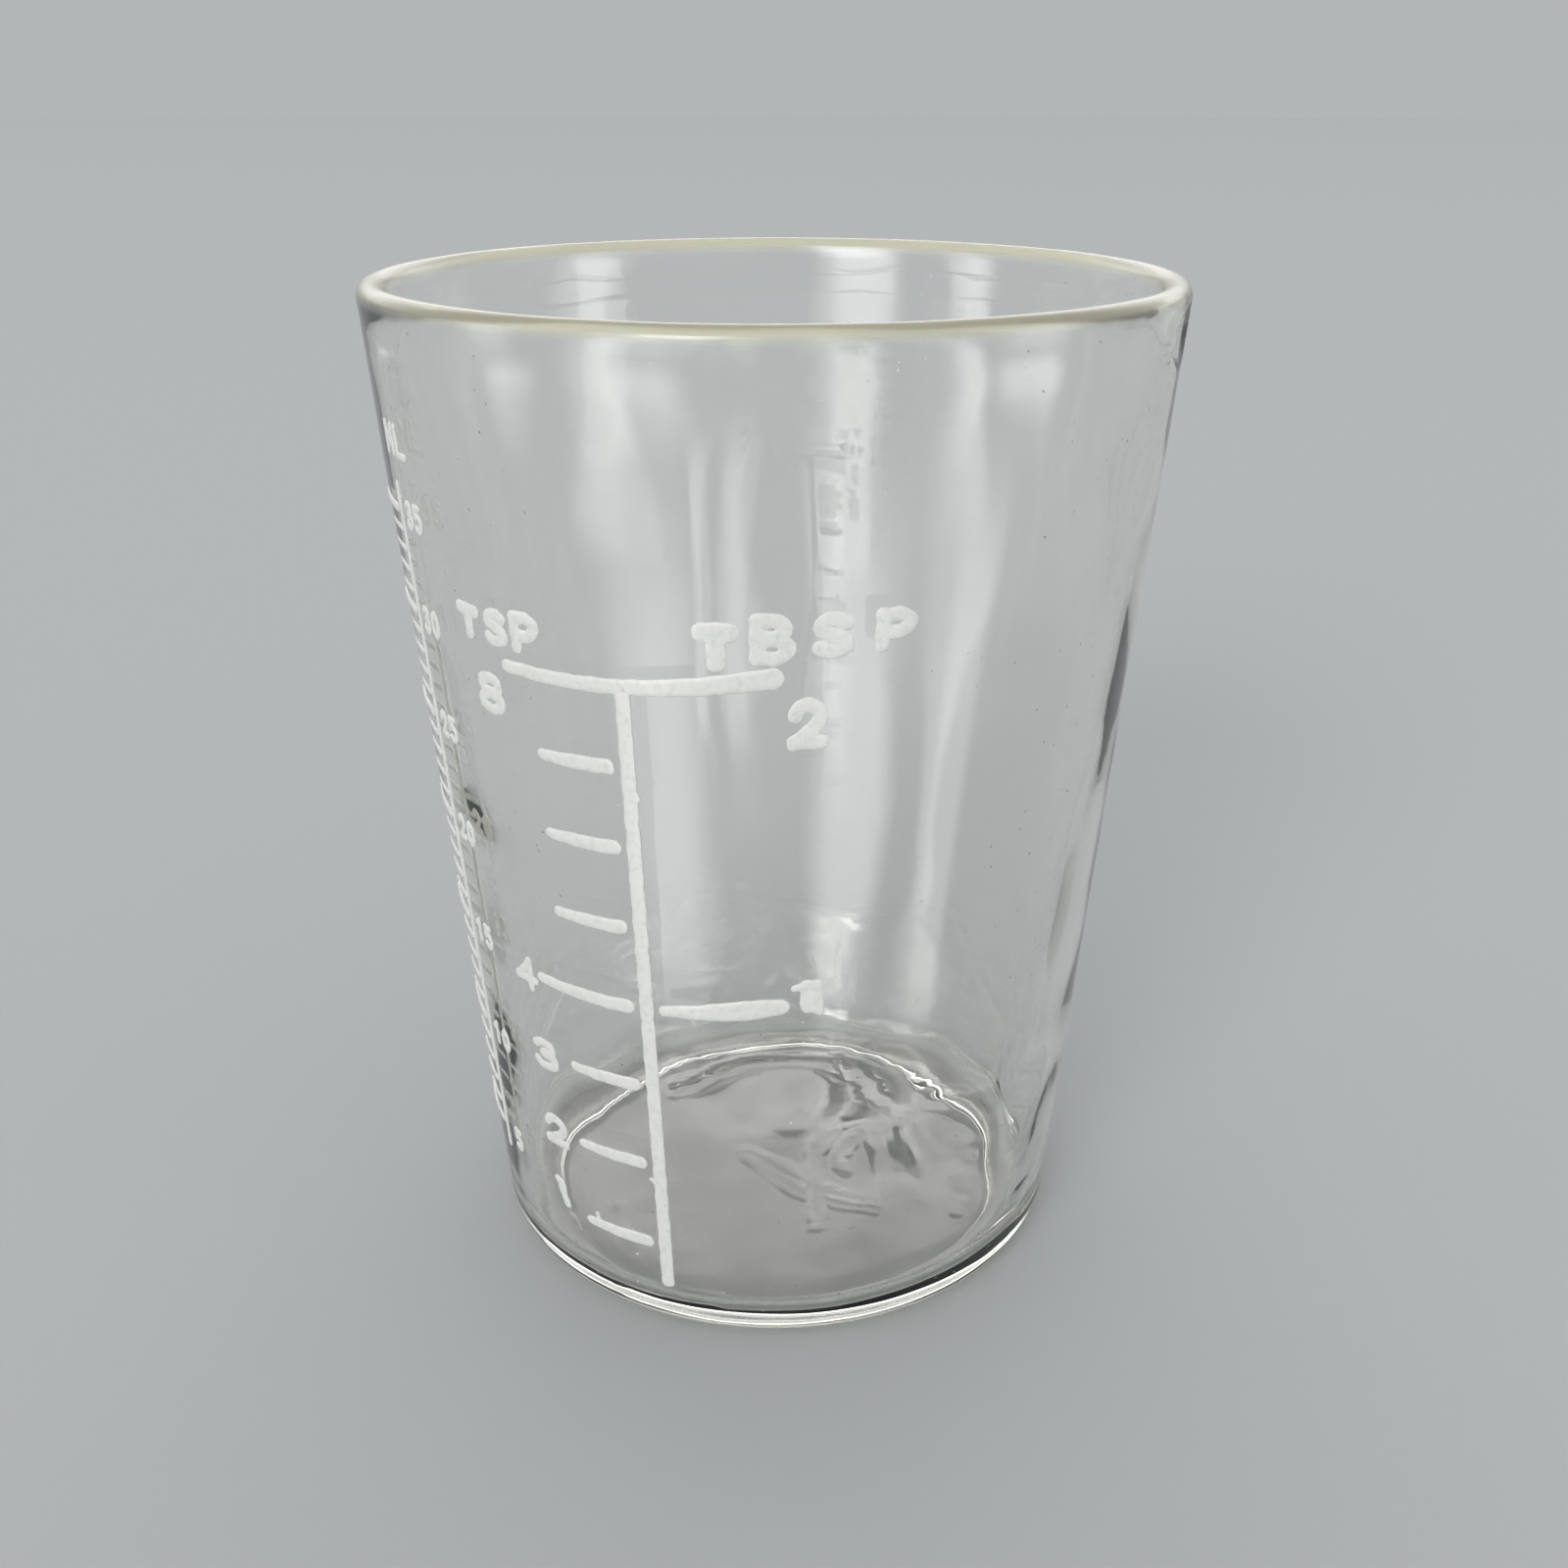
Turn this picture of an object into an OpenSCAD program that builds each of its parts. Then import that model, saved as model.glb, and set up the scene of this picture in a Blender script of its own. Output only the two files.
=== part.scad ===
// Dosing cup: a small tapered medicine glass with graduations in fired white enamel.
// It stands on z = 0 with its axis on z, and the teaspoon and tablespoon scales face -y.
// The height of every graduation follows from the volume of the glass below it.

/* [Glass] */
// Height from the table to the top of the lip
cup_h = 52; // [49:0.5:57]
// Outside diameter at the lip
rim_d = 40; // [38.6:0.2:44]
// Outside diameter that the straight wall reaches at the table, before the heel is rounded
foot_d = 31.6; // [29:0.2:34]
// Thickness of the wall, square to its surface
wall_t = 1.35; // [1.1:0.05:1.8]
// Thickness of the floor at its edge
floor_t = 1.4; // [1.2:0.1:2.4]
// How far the floor dips in the middle, inside
dish_depth = 0.15; // [0.1:0.05:0.3]
// Radius in the corner between floor and wall, inside
corner_r = 1.8; // [1.2:0.1:2.6]
// Radius of the heel, outside
heel_r = 1.7; // [1.2:0.1:2.2]
// Width of the flat ring that the glass stands on
seat_w = 1.5; // [1.1:0.1:2.2]
// Height of the hollow under the floor
push_up = 0.35; // [0.2:0.05:0.4]

/* [Enamel] */
// Thickness of the fired enamel
enamel_t = 0.08; // [0.06:0.01:0.15]
// Width of a graduation line where it starts, beside its upright
line_w = 0.75; // [0.6:0.05:0.9]
// Width of a graduation line at its thin end
line_tip_w = 0.55; // [0.4:0.05:0.7]
// Width of the upright between the two spoon scales
spine_w = 0.7; // [0.5:0.05:0.9]
// Bare glass between an upright and the lines beside it
line_gap = 0.3; // [0.2:0.05:0.5]
// Radius of the bow that a line takes when a flat screen rolls round the taper
bow_r = 54; // [48:1:70]
// How far left of the upright a bowed line lies lowest
bow_x = 3.5; // [2.5:0.1:4.5]
// How far the whole print sits below the true levels
print_drop = 1; // [0.6:0.1:1.4]

/* [Spoon scales] */
// Volume of one teaspoon, in millilitres
teaspoon = 3.697; // [3.5:0.001:3.75]
// Teaspoons in one tablespoon
tablespoon = 4; // [4]
// Teaspoons at the full line
full_measure = 8; // [8]
// Direction of the upright, in degrees from the front, minus is left
spine_angle = -20.4; // [-24:0.1:-18]
// Length of a teaspoon line
teaspoon_w = 4.1; // [3.4:0.1:4.6]
// Length of the teaspoon line that is level with a full tablespoon
long_teaspoon_w = 5.8; // [5.2:0.1:6.2]
// Length of the tablespoon line
tablespoon_w = 6.2; // [5:0.1:6.6]
// Width of the tablespoon line at its thick end
tablespoon_end_w = 1.15; // [0.9:0.05:1.3]
// How far the full line reaches left of the upright
full_left = 6.1; // [5.6:0.1:6.8]
// How far the full line reaches right of the upright
full_right = 6.5; // [6:0.1:7]
// Width of the full line at its thick end
full_end_w = 0.95; // [0.8:0.05:1.1]
// Height of the upright's lower end above the table
spine_foot_z = 2.9; // [2.8:0.1:3.6]

/* [Millilitre scale] */
// Direction of the upright of the millilitre scale, in degrees from the front, minus is left
ml_angle = -64; // [-67:0.5:-62]
// Width of that upright
ml_spine_w = 0.45; // [0.35:0.05:0.6]
// Width of a line that carries a numeral
ml_line_w = 0.45; // [0.35:0.05:0.6]
// Width of a line between the numerals
ml_fine_w = 0.3; // [0.25:0.05:0.4]
// Length of a line that carries a numeral
ml_tick_w = 4; // [3.4:0.1:4.6]
// Length of a line between the numerals
ml_fine_tick_w = 2.4; // [1.8:0.1:2.8]
// Bare glass between that upright and its lines
ml_gap = 0.25; // [0.2:0.05:0.4]
// Millilitres from one numeral to the next
ml_step = 5; // [5]
// Millilitres at the highest line
ml_top = 35; // [35]
// How far the upright runs on past its first and last lines
ml_run_on = 1.2; // [0.8:0.1:1.6]

/* [Hidden] */
$fn = 96;
// Sides of a circle so wide that only a short stretch of it is used
fine_fn = 1440;
// Largest turn between two points of an arc in the section
arc_step = 7.5;
glass_colour = [0.86, 0.9, 0.86, 0.45];
enamel_colour = [0.96, 0.96, 0.94];

// Slope of the wall, and the direction square to it
wall_slope = (rim_d - foot_d) / 2 / cup_h;
wall_lean = atan(wall_slope);
out_x = cos(wall_lean);
out_z = -sin(wall_lean);

// Centres of the round lip, of the heel's round and of the inside corner's round, in the section
lip_r = wall_t / 2;
lip_z = cup_h - lip_r;
lip_x = rim_d / 2 - lip_r;
wall_x0 = lip_x + lip_r / out_x - wall_slope * lip_z;
heel_x = wall_x0 + wall_slope * heel_r - heel_r / out_x;
corner_z = floor_t + corner_r;
corner_x = wall_x0 + wall_slope * corner_z - (wall_t + corner_r) / out_x;

// Radius of the outside of the wall at a height, and of its inside
function outside(z) = wall_x0 + wall_slope * z;
function inside(z) = outside(z) - wall_t / out_x;

// Radius of the sphere that a shallow cap of this width and depth is cut from
function cap_sphere(d, depth) = (d * d / 4 + depth * depth) / (2 * depth);
dish_r = cap_sphere(2 * corner_x, dish_depth);
hollow_r = cap_sphere(2 * (heel_x - seat_w), push_up);

// Volume of a cap of this width and depth, and of the glass that rounds the inside corner
function cap_volume(d, depth) = PI * depth * (3 * d * d / 4 + depth * depth) / 6;
corner_turn = 90 - wall_lean;
corner_area = corner_r * corner_r * (tan(corner_turn / 2) - corner_turn * PI / 360);
corner_volume = corner_area * 2 * PI * (inside(floor_t) - corner_r / 5);

// Height that a volume in millilitres reaches, when the inside is a cone with a rounded corner and a dip
function level(ml) =
    floor_t + (pow(
        pow(inside(floor_t), 3)
        + 3 * wall_slope / PI * (ml * 1000 + corner_volume - cap_volume(2 * corner_x, dish_depth)),
        1 / 3
    ) - inside(floor_t)) / wall_slope;
function mark_z(ml) = level(ml) - print_drop;
full_z = mark_z(full_measure * teaspoon);

// Points on an arc in the section, from one direction to another
function arc(centre, r, from, to) =
    let (steps = max(8, ceil(abs(to - from) / arc_step)))
    [for (i = [0 : steps])
        let (turn = from + (to - from) * i / steps) centre + r * [cos(turn), sin(turn)]];

// All the points but the first, where an arc starts on the last point of another
function past_first(points) = [for (i = [1 : len(points) - 1]) points[i]];

// Section of the glass, from under the floor round the heel, over the lip and back to the floor's dip
module section() {
    hollow_z = push_up - hollow_r;
    dish_z = floor_t - dish_depth + dish_r;
    polygon(concat(
        arc([0, hollow_z], hollow_r, 90, asin(-hollow_z / hollow_r)),
        arc([heel_x, heel_r], heel_r, -90, -wall_lean),
        arc([lip_x, lip_z], lip_r, -wall_lean, 180 - wall_lean),
        arc([corner_x, corner_z], corner_r, -wall_lean, -90),
        past_first(arc([0, dish_z], dish_r, -acos(corner_x / dish_r), -90))
    ));
}

// The one piece of glass
module glass_cup() {
    color(glass_colour) rotate_extrude() section();
}

// Thin coat over the whole straight wall, which a screen then cuts to its marks
module coat() {
    z0 = heel_r;
    z1 = lip_z - lip_r;
    rotate_extrude() polygon([
        [outside(z0), z0], [outside(z1), z1],
        [outside(z1) + enamel_t / out_x, z1], [outside(z0) + enamel_t / out_x, z0]
    ]);
}

// Enamel where the flat screen's openings meet the glass in this direction
module printed(angle) {
    color(enamel_colour) intersection() {
        coat();
        rotate([90, 0, angle]) linear_extrude(height = rim_d) children();
    }
}

// Height by which the bow lifts a line at x, compared with the upright
function bow(x) = (pow(x + bow_x, 2) - pow(bow_x, 2)) / (2 * bow_r);

// A bowed line from x0 to x1 at height z beside the upright, with its own width at each end.
// Two circles bound it, and moving the upper one sideways makes the line taper.
module bowed_line(z, x0, x1, w0, w1) {
    taper = (w1 - w0) / (x1 - x0);
    middle = (x0 + x1) / 2;
    mid_w = (w0 + w1) / 2;
    shift = -taper * bow_r;
    top = mid_w / 2 - (pow(middle + bow_x - shift, 2) - pow(middle + bow_x, 2)) / (2 * bow_r);
    low_z = z - bow_x * bow_x / (2 * bow_r);
    intersection() {
        translate([x0, z - bow_r / 4]) square([x1 - x0, bow_r / 2]);
        difference() {
            translate([-bow_x, low_z - mid_w / 2 + bow_r]) circle(r = bow_r, $fn = fine_fn);
            translate([shift - bow_x, low_z + top + bow_r]) circle(r = bow_r, $fn = fine_fn);
        }
    }
    translate([x0, z + bow(x0)]) circle(d = w0);
    translate([x1, z + bow(x1)]) circle(d = w1);
}

// The line of the full measure
module full_line() {
    printed(spine_angle)
        bowed_line(full_z, -full_left, full_right, line_tip_w, full_end_w);
}

// The upright between the spoon scales, from the full line down
module scale_spine() {
    top = full_z - (line_tip_w + full_end_w) / 4;
    printed(spine_angle) {
        translate([-spine_w / 2, spine_foot_z + spine_w / 2])
            square([spine_w, top - spine_foot_z - spine_w / 2]);
        translate([0, spine_foot_z + spine_w / 2]) circle(d = spine_w);
    }
}

// A teaspoon line, left of the upright
module teaspoon_tick(n) {
    long = n % tablespoon == 0;
    x1 = -spine_w / 2 - line_gap - line_w / 2;
    x0 = x1 - (long ? long_teaspoon_w : teaspoon_w) + line_w / 2 + line_tip_w / 2;
    printed(spine_angle)
        bowed_line(mark_z(n * teaspoon), x0, x1, line_tip_w, line_w);
}

// A tablespoon line, right of the upright
module tablespoon_tick(n) {
    x0 = spine_w / 2 + line_gap + line_tip_w / 2;
    x1 = x0 + tablespoon_w - line_tip_w / 2 - tablespoon_end_w / 2;
    printed(spine_angle)
        bowed_line(mark_z(n * tablespoon * teaspoon), x0, x1, line_tip_w, tablespoon_end_w);
}

// A straight line with round ends, left of the millilitre upright
module ml_line(v, reach, w) {
    x1 = -ml_spine_w / 2 - ml_gap - w / 2;
    x0 = x1 - reach + w;
    translate([x0, mark_z(v) - w / 2]) square([x1 - x0, w]);
    translate([x0, mark_z(v)]) circle(d = w);
    translate([x1, mark_z(v)]) circle(d = w);
}

// The upright of the millilitre scale
module millilitre_spine() {
    z0 = mark_z(ml_step) - ml_run_on;
    z1 = mark_z(ml_top) + ml_run_on;
    printed(ml_angle) {
        translate([-ml_spine_w / 2, z0]) square([ml_spine_w, z1 - z0]);
        translate([0, z0]) circle(d = ml_spine_w);
        translate([0, z1]) circle(d = ml_spine_w);
    }
}

// A millilitre line that carries a numeral
module millilitre_tick(v) {
    printed(ml_angle) ml_line(v, ml_tick_w, ml_line_w);
}

// All the millilitre lines between the numerals
module millilitre_fine_ticks() {
    printed(ml_angle)
        for (v = [ml_step : ml_top])
            if (v % ml_step != 0) ml_line(v, ml_fine_tick_w, ml_fine_w);
}

glass_cup();
full_line();
scale_spine();
for (n = [1 : full_measure - 1])
    teaspoon_tick(n);
tablespoon_tick(1);  // tablespoon_tick_1
millilitre_spine();
millilitre_fine_ticks();
for (v = [ml_step : ml_step : ml_top])
    millilitre_tick(v);
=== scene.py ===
"""Studio picture of a dosing cup: a small tapered glass with its graduations in fired white enamel.

The cup stands at the origin on z = 0 and its spoon scales face -y. Sizes are the real ones, in millimetres,
and are turned to metres where a mesh is written. The height and the width at the lip come from the frame.
"""

from __future__ import annotations

import logging
import math
from dataclasses import dataclass, field
from enum import Enum
from functools import partial
from typing import Callable, Sequence

import bpy
import numpy as np
from mathutils import Euler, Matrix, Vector

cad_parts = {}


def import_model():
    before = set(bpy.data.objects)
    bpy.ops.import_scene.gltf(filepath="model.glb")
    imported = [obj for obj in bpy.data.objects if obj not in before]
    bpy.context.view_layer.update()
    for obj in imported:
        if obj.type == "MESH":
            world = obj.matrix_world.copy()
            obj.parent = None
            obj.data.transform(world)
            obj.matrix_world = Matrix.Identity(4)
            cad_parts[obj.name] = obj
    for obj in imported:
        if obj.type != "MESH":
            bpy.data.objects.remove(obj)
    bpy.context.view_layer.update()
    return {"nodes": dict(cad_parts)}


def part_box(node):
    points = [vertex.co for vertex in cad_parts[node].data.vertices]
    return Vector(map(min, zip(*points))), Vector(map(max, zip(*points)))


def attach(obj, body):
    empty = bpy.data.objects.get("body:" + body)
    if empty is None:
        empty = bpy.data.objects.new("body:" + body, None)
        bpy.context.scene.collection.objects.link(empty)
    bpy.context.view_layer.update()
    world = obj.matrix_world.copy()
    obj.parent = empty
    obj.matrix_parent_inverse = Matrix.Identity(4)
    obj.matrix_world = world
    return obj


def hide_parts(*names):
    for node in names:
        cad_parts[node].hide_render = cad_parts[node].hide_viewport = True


MM = 0.001
BODY = "root"
FAR = 1e9  # farther than anything in the scene, mm
TINY = 1e-9  # keeps a division from nought
LETTER_GAP = 0.55  # space between two characters, as a share of the width of their strokes
log = logging.getLogger("dosing_cup")

Point2 = tuple[float, float]
Point3 = tuple[float, float, float]
Array = np.ndarray
Material = bpy.types.Material
Mesh = bpy.types.Mesh
Object = bpy.types.Object
Socket = bpy.types.NodeSocket
Tree = bpy.types.NodeTree

SOCKETS = {int: "NodeSocketInt", float: "NodeSocketFloat", Material: "NodeSocketMaterial"}


def linear(hex_colour: str) -> tuple[float, float, float, float]:
    """Turn an sRGB hex colour into the linear RGBA that shaders take.

    Args:
        hex_colour: six hex digits after a hash sign.

    Returns:
        The linear red, green and blue, and an alpha of 1.
    """
    parts = [int(hex_colour[i : i + 2], 16) / 255 for i in (1, 3, 5)]
    red, green, blue = (c / 12.92 if c <= 0.04045 else ((c + 0.055) / 1.055) ** 2.4 for c in parts)
    return red, green, blue, 1.0


def add_node(tree: Tree, kind: str, inputs: dict | None = None, **settings) -> bpy.types.Node:
    """Add a node to a tree with its settings, its values and its links.

    Args:
        tree: the node tree that gets the node.
        kind: the node's type name.
        inputs: for a socket's name or number, a plain value or the output socket that feeds it.
        **settings: properties of the node itself, such as an operation.

    Returns:
        The new node.
    """
    node = tree.nodes.new(kind)
    for name, value in settings.items():
        setattr(node, name, value)
    for key, value in (inputs or {}).items():
        if isinstance(value, Socket):
            tree.links.new(value, node.inputs[key])
        else:
            node.inputs[key].default_value = value
    return node


def calc(tree: Tree, operation: str, *values: Socket | float) -> Socket:
    """Work out one step of arithmetic on sockets or plain numbers."""
    return add_node(tree, "ShaderNodeMath", dict(enumerate(values)), operation=operation).outputs[0]


def vector_calc(tree: Tree, operation: str, *values: Socket | Point3) -> Socket:
    """Work out one step of vector arithmetic, whose result is a number only for a length."""
    node = add_node(tree, "ShaderNodeVectorMath", dict(enumerate(values)), operation=operation)
    return node.outputs["Value" if operation == "LENGTH" else "Vector"]


def span(
    tree: Tree, value: Socket, given: Point2, wanted: Point2 = (0.0, 1.0), shape: str = "LINEAR"
) -> Socket:
    """Turn one range of a value into another, and stop at its ends."""
    ends = {"From Min": given[0], "From Max": given[1], "To Min": wanted[0], "To Max": wanted[1]}
    return add_node(tree, "ShaderNodeMapRange", {"Value": value, **ends}, interpolation_type=shape).outputs[0]


def blend(tree: Tree, share: Socket, low: str, high: str) -> Socket:
    """Mix two hex colours by a share."""
    inputs = {0: share, 6: linear(low), 7: linear(high)}
    return add_node(tree, "ShaderNodeMix", inputs, data_type="RGBA").outputs[2]


def noise(tree: Tree, place: Socket, size: float, **inputs: float) -> Socket:
    """Make a noise with grains of a size in millimetres."""
    given = {"Vector": place, "Scale": 1 / (size * MM), **inputs}
    return add_node(tree, "ShaderNodeTexNoise", given).outputs["Fac"]


def relief(tree: Tree, pattern: Socket, depth: float, **inputs: Socket | float) -> Socket:
    """Give the surface's normal a relief of a depth in millimetres."""
    given = {"Strength": 1.0, "Distance": depth * MM, "Height": pattern, **inputs}
    return add_node(tree, "ShaderNodeBump", given).outputs[0]


def end_material(tree: Tree, surface: dict, body: Socket | None = None) -> None:
    """Close a material with its surface's values and, for glass, what fills its body."""
    ends = {"Surface": add_node(tree, "ShaderNodeBsdfPrincipled", surface).outputs[0]}
    add_node(tree, "ShaderNodeOutputMaterial", ends | ({"Volume": body} if body else {}))


def start_material(name: str) -> tuple[Material, Tree, Socket]:
    """Start a material with an empty tree, and give its tree and the place on the object too."""
    mat = bpy.data.materials.new(name)
    mat.use_nodes = True
    mat.node_tree.nodes.clear()
    return mat, mat.node_tree, add_node(mat.node_tree, "ShaderNodeTexCoord").outputs["Object"]


def start_tree(name: str, values: dict) -> tuple[Tree, bpy.types.NodeOutputs]:
    """Start a geometry node tree that takes a pattern and named values, and gives a piece.

    Args:
        name: the tree's name.
        values: the value of each input by its name.

    Returns:
        The tree and its inputs, to be used by name.
    """
    tree = bpy.data.node_groups.new(name, "GeometryNodeTree")
    tree.interface.new_socket("Pattern", in_out="INPUT", socket_type="NodeSocketGeometry")
    for label, value in values.items():
        kind = next(kind for known, kind in SOCKETS.items() if isinstance(value, known))
        tree.interface.new_socket(label, in_out="INPUT", socket_type=kind).default_value = value
    tree.interface.new_socket("Piece", in_out="OUTPUT", socket_type="NodeSocketGeometry")
    return tree, add_node(tree, "NodeGroupInput").outputs


def chain(tree: Tree, kind: str, geometry: Socket, inputs: dict | None = None, **settings) -> Socket:
    """Add a node that takes geometry at its first socket and gives it on."""
    return add_node(tree, f"GeometryNode{kind}", {0: geometry, **(inputs or {})}, **settings).outputs[0]


def end_tree(tree: Tree, geometry: Socket, finish: Socket) -> Tree:
    """Make the geometry real, give it its material and put it out."""
    real = chain(tree, "RealizeInstances", geometry)
    add_node(tree, "NodeGroupOutput", {0: chain(tree, "SetMaterial", real, {"Material": finish})})
    return tree


def grow(name: str, seed: Object, tree: Tree) -> Mesh:
    """Run a geometry node tree on a seed and keep what comes out as a plain mesh.

    Args:
        name: the mesh's name.
        seed: the object that holds the pattern, which goes afterwards.
        tree: the geometry node tree.

    Returns:
        The mesh.
    """
    steps = seed.modifiers.new(tree.name, "NODES")
    steps.node_group = tree
    mesh = bpy.data.meshes.new_from_object(seed.evaluated_get(bpy.context.evaluated_depsgraph_get()))
    mesh.name = name
    seed.modifiers.remove(steps)
    bpy.data.objects.remove(seed)
    return mesh


def smooth_step(low: float, high: float, value: Array) -> Array:
    """Rise smoothly from 0 at low to 1 at high."""
    t = np.clip((value - low) / (high - low), 0.0, 1.0)
    return t * t * (3 - 2 * t)


def put_in(name: str, data: Mesh | bpy.types.Light | bpy.types.Camera) -> Object:
    """Put a mesh, a lamp or a camera in the scene, at the origin."""
    thing = bpy.data.objects.new(name, data)
    bpy.context.scene.collection.objects.link(thing)
    return thing


@dataclass(frozen=True)
class Undulation:
    """Slow waves left in a surface, as a sum of plane waves with a fixed seed."""

    seed: int
    across: Point2  # shortest and longest wave in the horizontal, mm
    upright: Point2  # shortest and longest wave along the axis, mm
    count: int = 14
    share: float = 1.0  # height of the waves

    def at(self, points: Array) -> Array:
        """Give the height of the waves at points.

        Args:
            points: one row of x, y and z for each point, in millimetres.

        Returns:
            The height at each point, mostly within the share either way.
        """
        rng = np.random.default_rng(self.seed)
        turn = rng.uniform(0, 2 * math.pi, self.count)
        flat = 2 * math.pi / rng.uniform(*self.across, self.count)
        tall = 2 * math.pi / rng.uniform(*self.upright, self.count) * rng.choice((-1, 1), self.count)
        phase = rng.uniform(0, 2 * math.pi, self.count)
        waves = np.stack([flat * np.cos(turn), flat * np.sin(turn), tall])
        return self.share * np.cos(points @ waves + phase).sum(axis=1) / math.sqrt(self.count)


def total(layers: Sequence[Undulation], points: Array) -> Array:
    """Add up layers of waves at points."""
    return sum(layer.at(points) for layer in layers)


@dataclass(frozen=True)
class CupShape:
    """Section of the cup in millimetres, and the heights that volumes reach in it."""

    height: float
    rim_radius: float
    foot_radius: float = 15.8
    wall: float = 1.35
    floor: float = 1.4
    dish: float = 0.15
    corner_radius: float = 1.8
    heel_radius: float = 1.7
    seat: float = 1.5
    push_up: float = 0.35
    print_drop: float = 1.0
    teaspoon: float = 3.697

    @property
    def slope(self) -> float:
        """Widening of the wall for each millimetre of height."""
        return (self.rim_radius - self.foot_radius) / self.height

    @property
    def lean(self) -> float:
        """Angle of the wall from upright, in radians."""
        return math.atan(self.slope)

    @property
    def lip_radius(self) -> float:
        """Radius of the round lip in the section."""
        return self.wall / 2

    @property
    def lip_centre(self) -> Point2:
        """Centre of the round lip in the section."""
        return self.rim_radius - self.lip_radius, self.height - self.lip_radius

    @property
    def corner_centre(self) -> Point2:
        """Centre of the round between floor and wall, inside."""
        z = self.floor + self.corner_radius
        return self.outside(z) - (self.wall + self.corner_radius) / math.cos(self.lean), z

    @property
    def heel_centre(self) -> Point2:
        """Centre of the round heel in the section."""
        r = self.heel_radius
        return self.outside(r) - r / math.cos(self.lean), r

    def outside(self, z):
        """Radius of the outer wall at height z."""
        lip_x, lip_z = self.lip_centre
        return lip_x + self.lip_radius / math.cos(self.lean) + self.slope * (z - lip_z)

    def inside(self, z):
        """Radius of the inner wall at height z."""
        return self.outside(z) - self.wall / math.cos(self.lean)

    def cap_radius(self, half_width: float, depth: float) -> float:
        """Radius of the sphere that a shallow cap of this size is cut from."""
        return (half_width**2 + depth**2) / (2 * depth)

    def cube_at_floor(self) -> float:
        """Cube of the inside radius at an empty measure, with the corner and the dip allowed for."""
        turn = math.pi / 2 - self.lean
        corner_area = self.corner_radius**2 * (math.tan(turn / 2) - turn / 2)
        corner = corner_area * 2 * math.pi * (self.inside(self.floor) - self.corner_radius / 5)
        half = self.corner_centre[0]
        dip = math.pi * self.dish * (3 * half**2 + self.dish**2) / 6
        return self.inside(self.floor) ** 3 + 3 * self.slope / math.pi * (corner - dip)

    def cube_per_ml(self) -> float:
        """What one millilitre adds to the cube of the inside radius."""
        return 3 * self.slope / math.pi * 1000

    def mark_z(self, ml: float) -> float:
        """Height of the printed mark for a volume in millilitres."""
        radius = (self.cube_at_floor() + self.cube_per_ml() * ml) ** (1 / 3)
        return self.floor + (radius - self.inside(self.floor)) / self.slope - self.print_drop


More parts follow.
